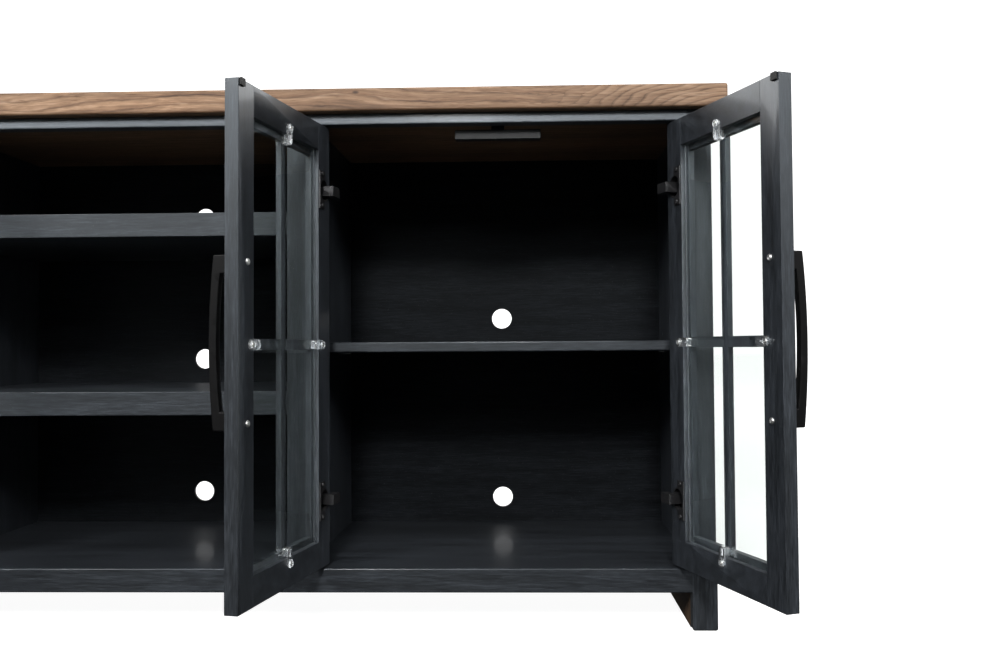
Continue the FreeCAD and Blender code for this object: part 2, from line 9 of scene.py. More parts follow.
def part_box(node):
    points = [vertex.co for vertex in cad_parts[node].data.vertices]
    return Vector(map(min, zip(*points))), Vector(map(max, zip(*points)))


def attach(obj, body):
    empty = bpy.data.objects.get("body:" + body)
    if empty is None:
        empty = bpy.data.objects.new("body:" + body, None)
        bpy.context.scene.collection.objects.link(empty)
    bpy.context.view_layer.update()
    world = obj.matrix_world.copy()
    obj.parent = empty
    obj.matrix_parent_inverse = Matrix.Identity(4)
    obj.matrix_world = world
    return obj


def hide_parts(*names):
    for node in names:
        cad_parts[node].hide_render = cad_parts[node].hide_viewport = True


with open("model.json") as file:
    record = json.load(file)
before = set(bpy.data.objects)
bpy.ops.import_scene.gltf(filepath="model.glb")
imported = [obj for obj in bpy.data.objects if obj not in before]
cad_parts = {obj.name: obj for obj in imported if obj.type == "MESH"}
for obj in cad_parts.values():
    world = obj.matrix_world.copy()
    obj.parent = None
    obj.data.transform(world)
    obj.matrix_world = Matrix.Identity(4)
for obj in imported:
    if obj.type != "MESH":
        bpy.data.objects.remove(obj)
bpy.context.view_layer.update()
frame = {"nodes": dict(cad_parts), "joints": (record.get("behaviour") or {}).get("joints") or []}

# A media cabinet: wood top, charcoal case with three bays, and glass doors standing open on the end bays.
# Everything is in metres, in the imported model's frame. Nodes that already have the right shape keep it and
# get softened edges and a material. The small screws, the handle screws and the glass clips are rebuilt here
# in finer detail, and the screws through the hinge plates are added.

nodes = frame["nodes"]
scene = bpy.context.scene
DOORS = [joint["child"] for joint in frame["joints"]]


# ---------------------------------------------------------------- doors as they are when closed
def joint_of(body):
    return next(joint for joint in frame["joints"] if joint["child"] == body)


def closed_angle(body):
    """The turn, in radians, that takes a door from where it stands to closed."""
    return math.radians(max(joint_of(body)["range_deg"], key=abs))


def opened(body):
    """The matrix that takes something drawn on the closed door to where the door stands."""
    pivot = Vector(joint_of(body)["pos_m"])
    turn = Matrix.Rotation(-closed_angle(body), 4, "Z")
    return Matrix.Translation(pivot) @ turn @ Matrix.Translation(-pivot)


SAME_POINT = 1e-5


def solids(name, body=None):
    """The box of each separate solid of a node, on the closed door if a body is given."""
    mesh = bmesh.new()
    mesh.from_mesh(nodes[name].data)
    if body:
        mesh.transform(opened(body).inverted())
    bmesh.ops.remove_doubles(mesh, verts=mesh.verts, dist=SAME_POINT)
    unseen = set(mesh.verts)
    boxes = []
    while unseen:
        found = {unseen.pop()}
        frontier = list(found)
        while frontier:
            vertex = frontier.pop()
            for link in vertex.link_edges:
                other = link.other_vert(vertex)
                if other in unseen:
                    unseen.remove(other)
                    found.add(other)
                    frontier.append(other)
        low = Vector(min(vertex.co[axis] for vertex in found) for axis in range(3))
        high = Vector(max(vertex.co[axis] for vertex in found) for axis in range(3))
        boxes.append((low, high))
    mesh.free()
    return sorted(boxes, key=lambda pair: tuple(round(value, 4) for value in pair[0]))


# ---------------------------------------------------------------- node trees
class Graph:
    """Short names for making and joining the nodes of one tree."""

    def __init__(self, tree):
        self.tree = tree
        self.tree.nodes.clear()

    def add(self, kind):
        return self.tree.nodes.new(kind)

    def join(self, source, target):
        self.tree.links.new(source, target)

    def put(self, node, word, value):
        """Link a socket or set a plain value on one of a node's inputs."""
        if isinstance(value, bpy.types.NodeSocket):
            self.join(value, node.inputs[word])
        else:
            node.inputs[word].default_value = value

    def fill(self, node, **values):
        """Set several inputs of a node, each named in lower case with underscores."""
        for word, value in values.items():
            self.put(node, word.replace("_", " ").title(), value)

    def split(self, vector):
        """The outputs X, Y and Z of a vector."""
        node = self.add("ShaderNodeSeparateXYZ")
        self.put(node, "Vector", vector)
        return node.outputs

    def math(self, operation, first, second=0.0):
        node = self.add("ShaderNodeMath")
        node.operation = operation
        for number, value in enumerate((first, second)):
            self.put(node, number, value)
        return node.outputs[0]

    def rescale(self, value, source=(0.0, 1.0), target=(0.0, 1.0), smooth=False):
        """Take a value from one range to another, held at the ends."""
        node = self.add("ShaderNodeMapRange")
        node.interpolation_type = "SMOOTHSTEP" if smooth else "LINEAR"
        self.fill(node, value=value, from_min=source[0], from_max=source[1])
        self.fill(node, to_min=target[0], to_max=target[1])
        return node.outputs["Result"]

    def spread(self, value, low, high):
        """Rescale a 0 to 1 value to the range low to high."""
        return self.rescale(value, target=(low, high))

    def window(self, value, low, high):
        """0 below low, 1 above high and smooth in between."""
        return self.rescale(value, source=(low, high), smooth=True)

    def close_to(self, distance, full, none):
        """1 up to the distance full, 0 from the distance none and smooth in between."""
        return self.window(self.math("MULTIPLY", distance, -1.0), -none, -full)


class Look(Graph):
    """A Principled material, with short names for the nodes that feed it."""

    def __init__(self, name):
        self.material = bpy.data.materials.new(name)
        self.material.use_nodes = True
        super().__init__(self.material.node_tree)
        self.out = self.add("ShaderNodeOutputMaterial")
        self.shader = self.add("ShaderNodeBsdfPrincipled")
        self.join(self.shader.outputs["BSDF"], self.out.inputs["Surface"])
        self.coords = self.add("ShaderNodeTexCoord").outputs["Object"]

    def set(self, **values):
        """Set plain values on the shader's own inputs."""
        for word, value in values.items():
            self.shader.inputs[word.replace("_", " ").title().replace("Ior", "IOR")].default_value = value

    def feed(self, word, source):
        self.join(source, self.shader.inputs[word])

    def mapped(self, scale, turn=0.0, shift=(0, 0, 0), source=None):
        node = self.add("ShaderNodeMapping")
        self.fill(node, vector=source or self.coords, rotation=(0, 0, turn), location=shift, scale=scale)
        return node.outputs["Vector"]

    def noise(self, vector, scale, detail=4.0, roughness=0.55, distortion=0.0, colour=False):
        node = self.add("ShaderNodeTexNoise")
        self.fill(node, vector=vector, scale=scale, detail=detail, roughness=roughness, distortion=distortion)
        return node.outputs["Color" if colour else "Fac"]

    def grain(self, along, across, detail, roughness, distortion=0.0, colour=False, source=None):
        """Noise drawn out along X; along and across are how often it changes in a metre."""
        stretched = self.mapped((along, across, across), source=source)
        return self.noise(stretched, 1.0, detail, roughness, distortion, colour)

    def rings(self, vector, axis, scale, distortion, detail, detail_scale):
        """Growth rings about an axis, each with one soft and one sharp side."""
        node = self.add("ShaderNodeTexWave")
        node.wave_type = "RINGS"
        node.rings_direction = axis
        node.wave_profile = "SAW"
        self.fill(node, vector=vector, scale=scale, distortion=distortion, detail=detail,
                  detail_scale=detail_scale)
        return node.outputs["Fac"]

    def sway(self, colour, amount):
        """Turn a noise colour into a shift across X of up to half of amount."""
        centred = self.vector("SUBTRACT", colour, (0.5, 0.5, 0.5))
        return self.vector("MULTIPLY", centred, (0.0, amount, amount))

    def vector(self, operation, first, second):
        node = self.add("ShaderNodeVectorMath")
        node.operation = operation
        for number, value in enumerate((first, second)):
            self.put(node, number, value)
        return node.outputs["Value" if operation == "DISTANCE" else "Vector"]

    def ramp(self, value, stops):
        """A colour ramp; a stop's colour is (r, g, b) or one number for a grey."""
        node = self.add("ShaderNodeValToRGB")
        self.put(node, "Fac", value)
        ends = node.color_ramp.elements
        while len(ends) < len(stops):
            ends.new(0.5)
        for element, (place, colour) in zip(ends, stops):
            element.position = place
            grey = not isinstance(colour, (tuple, list))
            element.color = (colour, colour, colour, 1) if grey else (*colour, 1)
        return node.outputs["Color"]

    def mix(self, factor, first, second, kind="MIX"):
        node = self.add("ShaderNodeMix")
        node.data_type = "RGBA"
        node.blend_type = kind
        factor_input, first_input, second_input = 0, 6, 7
        self.put(node, factor_input, factor)
        for number, value in ((first_input, first), (second_input, second)):
            self.put(node, number, value if isinstance(value, bpy.types.NodeSocket) else (*value, 1))
        return node.outputs[2]

    def tinted(self, colour, by):
        return self.mix(1.0, colour, by, "MULTIPLY")

    def stained(self, colour, mask, amount, stain):
        """Mix in a stain, up to amount where the mask is 1."""
        return self.mix(self.math("MULTIPLY", mask, amount), colour, stain)

    def bump(self, height, depth, strength=1.0, after=None):
        node = self.add("ShaderNodeBump")
        self.fill(node, height=height, distance=depth, strength=strength)
        if after:
            self.join(after, node.inputs["Normal"])
        return node.outputs["Normal"]

    def let_lamps_through(self):
        """Rays from lamps pass straight through clear material, so it throws no black shadow."""
        path = self.add("ShaderNodeLightPath")
        clear = self.add("ShaderNodeBsdfTransparent")
        mixed = self.add("ShaderNodeMixShader")
        self.join(path.outputs["Is Shadow Ray"], mixed.inputs[0])
        self.join(self.shader.outputs["BSDF"], mixed.inputs[1])
        self.join(clear.outputs["BSDF"], mixed.inputs[2])
        self.join(mixed.outputs["Shader"], self.out.inputs["Surface"])


def scaled(colour, factor):
    return tuple(factor * value for value in colour)


# ---------------------------------------------------------------- wood top
# Places on the front edge are (x, z). A reach is the distance to which a mark is full and where it ends.
BOARD_WIDTH = 0.112
BOARD_TRIM = 0.02           # what is cut off the first board, at the front
BOARD_SEED = 4.0
BOARD_SHIFT = (3.0, 0.10, 0.05)
HEART_SHIFT = (0, 0.10, -0.70)  # puts the rings' heart below the boards
FLAME_HEART = (0.965, 0.770)
FLAME_STRETCH = 0.30
# This reach bounds both the flame figure and the painted sheen on the top's right end.
FLAME_AND_SHEEN_REACH = (0.16, 0.34)
KNOT = (0.395, 0.806)
KNOT_STRETCH = (0.75, 1.5)
KNOT_REACH = (0.0012, 0.0055)
HALO_REACH = (0.004, 0.022)
# Heights below which the top's lower edge and underside get painted shade.
PAINTED_SHADE_HEIGHTS = (0.7785, 0.787)
SEAM_EDGE = (0.4965, 0.4995)  # in board widths from the middle of a board

DARK_WOOD = (0.060, 0.030, 0.016)


def front_edge_mask(look):
    """1 on faces that look forwards."""
    normal = look.split(look.add("ShaderNodeNewGeometry").outputs["Normal"])
    return look.window(look.math("MULTIPLY", normal["Y"], -1.0), 0.5, 0.8)


def flame_figure(look, waver):
    """The pointed figure near the right end of the front edge."""
    x, z = FLAME_HEART
    around = look.mapped((FLAME_STRETCH, 1, 1), shift=(-FLAME_STRETCH * x, 0, -z),
                         source=look.vector("ADD", look.coords, waver))
    return look.rings(around, "Y", scale=54.0, distortion=5.5, detail=1.0, detail_scale=0.9)


def knot_distance(look):
    x, z = KNOT
    wide, tall = KNOT_STRETCH
    return look.vector("DISTANCE", look.mapped((wide, 0.0, tall)), (wide * x, 0.0, tall * z))


def make_walnut():
    """Boards glued edge to edge, each with its own heart, growth rings, pores and tone."""
    look = Look("walnut_top")
    place = look.split(look.coords)
    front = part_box("wood_top")[0].y
    across = look.math("DIVIDE", look.math("SUBTRACT", place["Y"], front - BOARD_TRIM), BOARD_WIDTH)
    chance = look.add("ShaderNodeTexWhiteNoise")
    chance.noise_dimensions = "1D"
    look.put(chance, "W", look.math("ADD", look.math("FLOOR", across), BOARD_SEED))
    board = look.vector("ADD", look.coords, look.vector("MULTIPLY", chance.outputs["Color"], BOARD_SHIFT))

    warp = look.sway(look.grain(1.6, 5.0, 2.0, 0.5, colour=True, source=board), 0.085)
    waver = look.sway(look.grain(5.0, 40.0, 3.0, 0.6, colour=True, source=board), 0.006)
    heart = look.vector("ADD", look.vector("ADD", board, warp), waver)
    rings = look.rings(look.mapped((1, 1, 1), shift=HEART_SHIFT, source=heart), "X", scale=34.0,
                       distortion=1.2, detail=2.0, detail_scale=1.5)

    broad = look.grain(3.4, 105.0, 4.0, 0.6, 0.4, source=heart)
    lines = look.grain(17.0, 430.0, 4.0, 0.62, 0.2, source=heart)
    streaks = look.math("ADD", look.math("MULTIPLY", broad, 0.45), look.math("MULTIPLY", lines, 0.55))
    pores = look.window(look.grain(34.0, 950.0, 3.0, 0.6, source=board), 0.59, 0.68)
    tone = look.grain(1.1, 6.0, 3.0, 0.5, source=board)

    on_front = front_edge_mask(look)
    away = look.math("ABSOLUTE", look.math("SUBTRACT", place["X"], FLAME_HEART[0]))
    flame_and_sheen = look.math("MULTIPLY", look.close_to(away, *FLAME_AND_SHEEN_REACH), on_front)
    growth = look.mix(flame_and_sheen, rings, flame_figure(look, waver))
    from_knot = knot_distance(look)
    knot = look.math("MULTIPLY", look.close_to(from_knot, *KNOT_REACH), on_front)
    halo = look.math("MULTIPLY", look.close_to(from_knot, *HALO_REACH), on_front)

    ring_colour = look.ramp(growth, [
        (0.0, DARK_WOOD), (0.13, (0.340, 0.200, 0.115)),
        (0.74, (0.540, 0.350, 0.215)), (1.0, (0.120, 0.062, 0.033)),
    ])
    streak_colour = look.ramp(streaks, [
        (0.36, DARK_WOOD), (0.47, (0.270, 0.158, 0.090)), (0.54, (0.420, 0.265, 0.160)),
        (0.65, (0.740, 0.530, 0.370)),
    ])
    grey_brown = look.ramp(tone, [
        (0.32, (0.46, 0.44, 0.43)), (0.50, (0.69, 0.68, 0.67)), (0.68, (0.99, 0.96, 0.93)),
    ])
    board_tone = look.ramp(chance.outputs["Value"], [(0.0, (0.80, 0.78, 0.77)), (1.0, (1.08, 1.04, 1.0))])
    colour = look.mix(look.spread(flame_and_sheen, 0.55, 0.44), ring_colour, streak_colour)
    colour = look.tinted(colour, grey_brown)
    colour = look.tinted(colour, board_tone)
    colour = look.stained(colour, pores, 0.6, (0.070, 0.036, 0.020))
    # Painted sheen: a cool, greyer tint over the right end of the top's front.
    colour = look.stained(colour, flame_and_sheen, 0.35, look.tinted(colour, (0.86, 0.94, 1.06)))
    colour = look.stained(colour, halo, 0.30, (0.160, 0.085, 0.045))
    colour = look.stained(colour, knot, 0.85, (0.030, 0.016, 0.010))
    # Painted shade: the top's rounded lower edge and its underside are darkened.
    painted_shade_below = look.close_to(place["Z"], *PAINTED_SHADE_HEIGHTS)
    colour = look.stained(colour, painted_shade_below, 0.45, (0.060, 0.032, 0.018))
    from_middle = look.math("ABSOLUTE", look.math("SUBTRACT", look.math("FRACT", across), 0.5))
    colour = look.stained(colour, look.window(from_middle, *SEAM_EDGE), 0.5, (0.05, 0.03, 0.018))
    look.feed("Base Color", colour)

    smear = look.spread(look.grain(3.0, 9.0, 3.0, 0.5), 0.46, 0.62)
    look.feed("Roughness", look.math("ADD", smear, look.math("MULTIPLY", pores, 0.18)))
    relief = look.math("SUBTRACT", look.math("MULTIPLY", streaks, 0.5), look.math("MULTIPLY", pores, 0.6))
    look.feed("Normal", look.bump(relief, 0.0004, 0.5))
    look.set(specular_ior_level=0.26)
    return look.material


# ---------------------------------------------------------------- other materials
PAINT_DARK = (0.0040, 0.0046, 0.0058)
PAINT_MIDDLE = (0.0105, 0.0122, 0.0150)
PAINT_LIGHT = (0.0250, 0.0285, 0.0340)
PAINT_SPECK = (0.16, 0.16, 0.17)
COOL_GLOSS = (0.86, 0.94, 1.0, 1)
GRAIN_SCALES = {"x": (1.0, 14.0, 14.0), "z": (14.0, 14.0, 1.0)}


def make_paint(name, grain, turn=0.0, tone=1.0, gloss=0.5, coat=0.18):
    """Satin charcoal paint over wood: the grain shows through as fine shallow lines along one way."""
    look = Look(name)
    grown = look.mapped(GRAIN_SCALES[grain], turn)
    broad = look.noise(grown, 5.0, 3.0, 0.5, 0.2)
    lines = look.noise(grown, 42.0, 6.0, 0.65, 0.15)
    hair = look.noise(grown, 190.0, 3.0, 0.6)
    specks = look.window(look.noise(look.coords, 620.0, 1.0, 0.4), 0.745, 0.80)
    clouds = look.noise(look.coords, 3.2, 4.0, 0.55)
    colour = look.ramp(lines, [
        (0.34, scaled(PAINT_DARK, tone)),
        (0.52, scaled(PAINT_MIDDLE, tone)),
        (0.72, scaled(PAINT_LIGHT, tone)),
    ])
    colour = look.tinted(colour, look.ramp(broad, [(0.30, 0.55), (0.70, 1.45)]))
    look.feed("Base Color", look.stained(colour, specks, 0.25, PAINT_SPECK))
    look.feed("Roughness", look.math("ADD", look.spread(lines, 0.34, 0.58), look.spread(clouds, -0.07, 0.07)))
    relief = look.math("ADD", look.math("MULTIPLY", lines, 0.7), look.math("MULTIPLY", hair, 0.3))
    peel = look.bump(look.noise(look.coords, 310.0, 2.0, 0.5), 0.00012, 0.35)
    look.feed("Normal", look.bump(relief, 0.00024, 0.35, after=peel))
    look.set(specular_ior_level=gloss, specular_tint=COOL_GLOSS, coat_weight=coat, coat_roughness=0.12)
    return look.material


def make_glass():
    """Clear, slightly green glass with faint smudges; its tint is partly the glass's own and partly painted
    shade.
    """
    look = Look("clear_pane")
    # Painted shade: the darkened tint shades the case seen through the pane, standing in for the shade of the
    # door and glass.
    look.set(base_color=(0.78, 0.82, 0.80, 1), transmission_weight=1.0, ior=1.5)
    smudge = look.window(look.noise(look.mapped((6.0, 6.0, 3.0)), 2.5, 5.0, 0.6, 0.4), 0.52, 0.82)
    look.feed("Roughness", look.spread(smudge, 0.0, 0.035))
    look.let_lamps_through()
    return look.material


def make_clip_plastic():
    """Clear moulded plastic with flow marks."""
    look = Look("clear_clip")
    look.set(base_color=(0.93, 0.96, 0.98, 1), transmission_weight=0.97, ior=1.49)
    flow = look.noise(look.coords, 160.0, 3.0, 0.55, 0.6)
    look.feed("Roughness", look.spread(flow, 0.02, 0.12))
    look.feed("Normal", look.bump(flow, 0.0004, 0.4))
    look.let_lamps_through()
    return look.material


def make_metal(name, colour, rough, metallic=1.0, gloss=0.5):
    """Bare or plated metal with fine scratches and a slightly uneven sheen."""
    look = Look(name)
    scratch = look.noise(look.mapped((1.0, 1.0, 6.0)), 420.0, 4.0, 0.6)
    cloud = look.noise(look.coords, 40.0, 3.0, 0.5)
    look.feed("Base Color", look.mix(look.window(cloud, 0.3, 0.7), scaled(colour, 0.72), colour))
    sheen = look.spread(scratch, rough - 0.07, rough + 0.07)
    look.feed("Roughness", look.math("ADD", sheen, look.spread(cloud, -0.04, 0.04)))
    look.feed("Normal", look.bump(scratch, 0.00006, 0.6))
    look.set(metallic=metallic, specular_ior_level=gloss)
    return look.material


def make_powder_coat():
    """Satin black powder coat with a fine pebble and a little handling shine."""
    look = Look("handle_powder_coat")
    pebble = look.noise(look.coords, 900.0, 2.0, 0.5)
    worn = look.window(look.noise(look.coords, 26.0, 3.0, 0.5), 0.45, 0.75)
    look.feed("Base Color", look.mix(worn, (0.0025, 0.0025, 0.0027), (0.0050, 0.0050, 0.0054)))
    shine = look.math("MULTIPLY", worn, 0.08)
    look.feed("Roughness", look.math("SUBTRACT", look.spread(pebble, 0.40, 0.54), shine))
    look.feed("Normal", look.bump(pebble, 0.00012, 0.6))
    look.set(specular_ior_level=0.16)
    return look.material


def make_rubber():
    """Dull black rubber."""
    look = Look("strike_rubber")
    grit = look.noise(look.coords, 700.0, 3.0, 0.6)
    look.feed("Base Color", look.ramp(grit, [(0.3, 0.006), (0.7, 0.014)]))
    look.feed("Roughness", look.spread(grit, 0.62, 0.80))
    look.feed("Normal", look.bump(grit, 0.0001, 0.5))
    return look.material


def make_bare_wood():
    """Unpainted brown wood inside the base."""
    look = Look("bare_base_wood")
    grain = look.noise(look.mapped((60.0, 3.0, 60.0)), 1.0, 5.0, 0.6, 0.2)
    look.feed("Base Color", look.ramp(grain, [(0.35, (0.050, 0.028, 0.016)), (0.68, (0.115, 0.070, 0.040))]))
    look.feed("Roughness", look.spread(grain, 0.55, 0.80))
    look.feed("Normal", look.bump(grain, 0.0003, 0.5))
    look.set(specular_ior_level=0.3)
    return look.material


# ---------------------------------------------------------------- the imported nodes
SHARP = math.radians(40)


def add_bevel(item, width, segments=2):
    bevel = item.modifiers.new("soft_edges", "BEVEL")
    bevel.width = width
    bevel.segments = segments
    bevel.limit_method = "ANGLE"
    bevel.angle_limit = SHARP
    bevel.harden_normals = True


def dress(name, material):
    slots = nodes[name].data.materials
    slots.clear()
    slots.append(material)


def soften(name, width, segments=2):
    """Round a node's sharp edges with a small bevel."""
    weld = nodes[name].modifiers.new("weld", "WELD")
    weld.merge_threshold = SAME_POINT
    add_bevel(nodes[name], width, segments)


STILE_TONE = 1.45
STILE_GLOSS = 0.62
LARGE_EDGE = 0.0016
BOARD_EDGE = 0.0012
SMALL_EDGE = 0.0008
FINE_EDGE = 0.0006

walnut = make_walnut()
paint_x = make_paint("charcoal_grain_x", "x", tone=1.15, gloss=0.6)
paint_z = make_paint("charcoal_grain_z", "z", tone=STILE_TONE, gloss=STILE_GLOSS)
paint_back = make_paint("charcoal_back", "x", tone=0.42, gloss=0.11, coat=0.0)
# Painted highlight: the top rail's paint is three times as light as the other charcoal, for the bright strip
# the lamps put on its front.
lit_rail_paint = make_paint("charcoal_top_rail", "x", tone=3.0, gloss=1.0, coat=0.5)
glass = make_glass()
clip_plastic = make_clip_plastic()
screw_steel = make_metal("zinc_screw", (0.80, 0.80, 0.79), 0.40)
pin_steel = make_metal("nickel_pin", (0.66, 0.65, 0.62), 0.26)
hinge_metal = make_metal("black_hinge_steel", (0.030, 0.030, 0.032), 0.40, metallic=0.6)
stop_metal = make_metal("stop_bar_grey", (0.016, 0.017, 0.018), 0.50, metallic=0.0, gloss=0.22)
powder_coat = make_powder_coat()
rubber = make_rubber()
bare_wood = make_bare_wood()

dress("wood_top", walnut)
soften("wood_top", LARGE_EDGE, 3)
dress("top_rail", lit_rail_paint)
dress("bottom_panel", paint_x)
for name in ("outer_stiles", "divider_stiles", "left_side", "right_side", "left_divider", "right_divider"):
    dress(name, paint_z)
soften("divider_stiles", BOARD_EDGE)
for name in ("bottom_rail", "upper_fixed_shelf", "lower_fixed_shelf", "left_loose_shelf",
             "right_loose_shelf"):
    dress(name, paint_x)
    soften(name, BOARD_EDGE)
for name in ("left_door_stop", "right_door_stop"):
    dress(name, stop_metal)
    soften(name, BOARD_EDGE)
dress("back_panel", paint_back)
dress("base_cleats", bare_wood)
dress("shelf_pins", pin_steel)
dress("hinge_plates", hinge_metal)
soften("hinge_plates", SMALL_EDGE)

for door in DOORS:
    along_rail = make_paint(f"charcoal_{door}", "x", closed_angle(door), tone=STILE_TONE, gloss=STILE_GLOSS)
    dress(f"{door}_stiles", paint_z)
    dress(f"{door}_rails", along_rail)
    dress(f"{door}_muntins", paint_z)
    dress(f"{door}_glass", glass)
    dress(f"{door}_handle", powder_coat)
    dress(f"{door}_hinge_arms", hinge_metal)
    dress(f"{door}_strike", rubber)
    for part in ("stiles", "rails", "muntins", "hinge_arms"):
        soften(f"{door}_{part}", FINE_EDGE)
    soften(f"{door}_handle", LARGE_EDGE, 3)
    soften(f"{door}_strike", SMALL_EDGE)


# ---------------------------------------------------------------- tools for the pieces rebuilt here
BACKWARDS = (0, 1, 0)


def add_piece(mesh, name, material, slot, body, *stands_for, edge=0.0):
    """Make an object of a bmesh that is already in place and hang it on a body."""
    bmesh.ops.recalc_face_normals(mesh, faces=mesh.faces)
    data = bpy.data.meshes.new(name)
    mesh.to_mesh(data)
    mesh.free()
    data.shade_smooth()
    for finish in material if isinstance(material, tuple) else (material,):
        data.materials.append(finish)
    piece = bpy.data.objects.new(name, data)
    scene.collection.objects.link(piece)
    if edge:
        add_bevel(piece, edge)
    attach(piece, body)
    if stands_for:
        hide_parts(*stands_for)


def add_turned(mesh, place, profile, around, lift=None):
    """Turn a profile of (radius, height) points about the Z axis of the matrix place, as a closed shell."""
    rings = []
    for radius, height in profile:
        ring = []
        for number in range(around if radius else 1):
            angle = 2 * math.pi * number / around
            raised = height + (lift(radius, angle, height) if lift else 0.0)
            spot = Vector((radius * math.cos(angle), radius * math.sin(angle), raised))
            ring.append(mesh.verts.new(place @ spot))
        rings.append(ring)
    for first, second in zip(rings, rings[1:]):
        for number in range(around):
            after = (number + 1) % around
            corners = [first[number % len(first)], first[after % len(first)],
                       second[after % len(second)], second[number % len(second)]]
            mesh.faces.new(list(dict.fromkeys(corners)))


def add_prism(mesh, outline, low, high):
    """A closed prism on a closed door from an (x, z) outline, between two depths."""
    near, far = ([mesh.verts.new((x, depth, z)) for x, z in outline] for depth in (low, high))
    mesh.faces.new(near)
    mesh.faces.new(list(reversed(far)))
    for number in range(len(outline)):
        after = (number + 1) % len(outline)
        mesh.faces.new((near[number], far[number], far[after], near[after]))


def rounded(low, high, radius, steps=6):
    """The outline of a rectangle with round corners, from two (x, z) corners."""
    left, right = low[0] + radius, high[0] - radius
    bottom, top = low[1] + radius, high[1] - radius
    points = []
    for quarter, (x, z) in enumerate(((right, top), (left, top), (left, bottom), (right, bottom))):
        for step in range(steps + 1):
            angle = math.pi / 2 * (quarter + step / steps)
            points.append((x + radius * math.cos(angle), z + radius * math.sin(angle)))
    return points


def facing(place, way):
    """A matrix at a place whose Z axis points along way."""
    return Matrix.Translation(place) @ Vector((0, 0, 1)).rotation_difference(Vector(way)).to_matrix().to_4x4()


# ---------------------------------------------------------------- screws
SMALL_HEAD = 0.0022
SMALL_SHANK = 0.0016
HANDLE_HEAD = 0.0025
HANDLE_SHANK = 0.0020
FLANGE_STEP = 0.0002        # heads this much lower than the highest are on the hinge flanges

# The recess's reach and half width are parts of the head's radius, its depth a part of the height.
RECESS_REACH = 0.60
RECESS_HALF_WIDTH = 0.13
RECESS_DEPTH = 0.75
RECESS_TAPER = 1.05
HEAD_STEPS = (0.0, 0.10, 0.16, 0.24, 0.32, 0.40, 0.48, 0.54, 0.60, 0.66, 0.76, 0.86, 0.93, 0.98, 1.0)
HEAD_SQUARENESS = 3.4
HEAD_SIDES = 64


def add_screw(mesh, place, radius, height, shank, length):
    """A pan head with a cross recess, its seat at the matrix's origin and its head along Z."""
    def recess(distance, angle, level):
        part = distance / radius
        if level <= 0 or part > RECESS_REACH:
            return 0.0
        across = part * abs(math.sin(2 * angle)) / 2
        if across > RECESS_HALF_WIDTH / 2 and part > RECESS_HALF_WIDTH:
            return 0.0
        return -RECESS_DEPTH * height * (RECESS_TAPER - part / RECESS_REACH)

    profile = [(radius * part, height * math.sqrt(max(0.0, 1 - part ** HEAD_SQUARENESS)))
               for part in HEAD_STEPS]
    profile += [(shank, 0.0), (shank, -length), (0.0, -length - shank)]
    add_turned(mesh, place, profile, HEAD_SIDES, recess)


def make_screws(door, name, head, shank):
    """Bright screws; those through the thinner hinge flanges are as black as the hinge."""
    mesh = bmesh.new()
    boxes = solids(f"{door}_{name}", door)
    outermost = max(high.y for low, high in boxes)
    for low, high in boxes:
        before = len(mesh.faces)
        middle = (low + high) / 2
        seat = Vector((middle.x, high.y - head, middle.z))
        add_screw(mesh, facing(seat, BACKWARDS), (high.x - low.x) / 2, head, shank, seat.y - low.y - shank)
        for face in list(mesh.faces)[before:]:
            face.material_index = 1 if high.y < outermost - FLANGE_STEP else 0
    mesh.transform(opened(door))
    finishes = (screw_steel, hinge_metal)
    add_piece(mesh, f"{door}_{name}_turned", finishes, "screw_steel", door, f"{door}_{name}")


# ---------------------------------------------------------------- glass clips
CLIP_TAB = 0.0025
CLIP_CORNER = 0.0064
CLIP_EDGE = 0.0005
CLIP_GAP = 0.0001           # keeps the faces of a clip's parts from lying in one plane
FOOT_MARGIN = 0.0006
FOOT_START = 0.0004
FOOT_CORNER = 0.0030
RIB_MARGIN = 0.0022
RIB_START = 0.0010
RIB_HALF_WIDTH = 0.0016
RIB_HEIGHT = 0.0016
RIB_CORNER = 0.0014
COLLAR_BORE = 0.0041
COLLAR = [(COLLAR_BORE, 0.0), (0.0061, 0.0), (0.0060, 0.0012), (0.0054, 0.0019), (0.0046, 0.0019),
          (COLLAR_BORE, 0.0012), (COLLAR_BORE, 0.0)]
COLLAR_SIDES = 48
COLLAR_WELD = 1e-6


def pad_outline(ends, corner):
    """A rectangle with round corners between two opposite corners on the door."""
    low, high = ([pick(spot[axis] for spot in ends) for axis in (0, 2)] for pick in (min, max))
    return rounded(low, high, corner)


